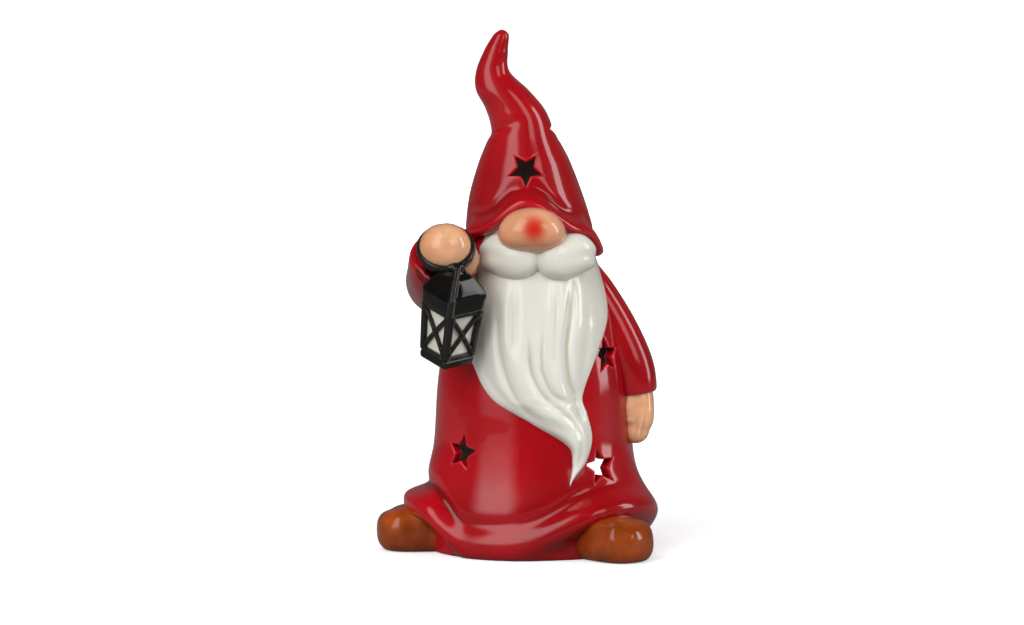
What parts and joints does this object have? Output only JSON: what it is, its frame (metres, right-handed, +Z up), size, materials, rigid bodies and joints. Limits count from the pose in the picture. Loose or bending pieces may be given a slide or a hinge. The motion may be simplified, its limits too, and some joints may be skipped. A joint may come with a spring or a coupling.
{
  "type": "garden gnome tealight holder",
  "caption": "Glazed ceramic gnome with a tall bent hat, long beard and small lantern; a hollow robe with star windows and a rear doorway shelters a tealight.",
  "frame": {"origin": "middle of the flat base of the robe, on the surface the gnome stands on", "axes": "+Z up to the tip of the hat, -Y the way the face and belly look, +X the side of the hanging arm"},
  "size_m": [0.1337, 0.1141, 0.25],
  "materials": {
    "red_glaze": "gloss",
    "white_glaze": "gloss",
    "skin_glaze": "gloss",
    "nose_glaze": "gloss",
    "brown_glaze": "gloss",
    "black_glaze": "gloss",
    "pane_glaze": "gloss",
    "cup_aluminium": "satin",
    "paraffin": "satin",
    "tab_steel": "satin",
    "cotton": "matte"
  },
  "bodies": {
    "gnome": {"robe_shell": "red_glaze", "hat_shell": "red_glaze", "beard": "white_glaze", "moustache_left": "white_glaze", "moustache_right": "white_glaze", "nose": "nose_glaze", "raised_sleeve": "red_glaze", "raised_hand": "skin_glaze", "hanging_sleeve": "red_glaze", "hanging_hand": "skin_glaze", "boot_left": "brown_glaze", "boot_right": "brown_glaze", "lantern_handle": "black_glaze", "lantern_roof": "black_glaze", "lantern_cage": "black_glaze", "lantern_core": "pane_glaze", "lantern_plate": "black_glaze"},
    "tealight": {"tealight_cup": "cup_aluminium", "tealight_wax": "paraffin", "tealight_wick_tab": "tab_steel", "tealight_wick": "cotton"}
  },
  "joints": [
    {"name": "tealight_slide", "type": "slide", "parent": "gnome", "child": "tealight", "axis": [0.309, 0.9511, 0], "range_m": [0, 0.1]}
  ]
}
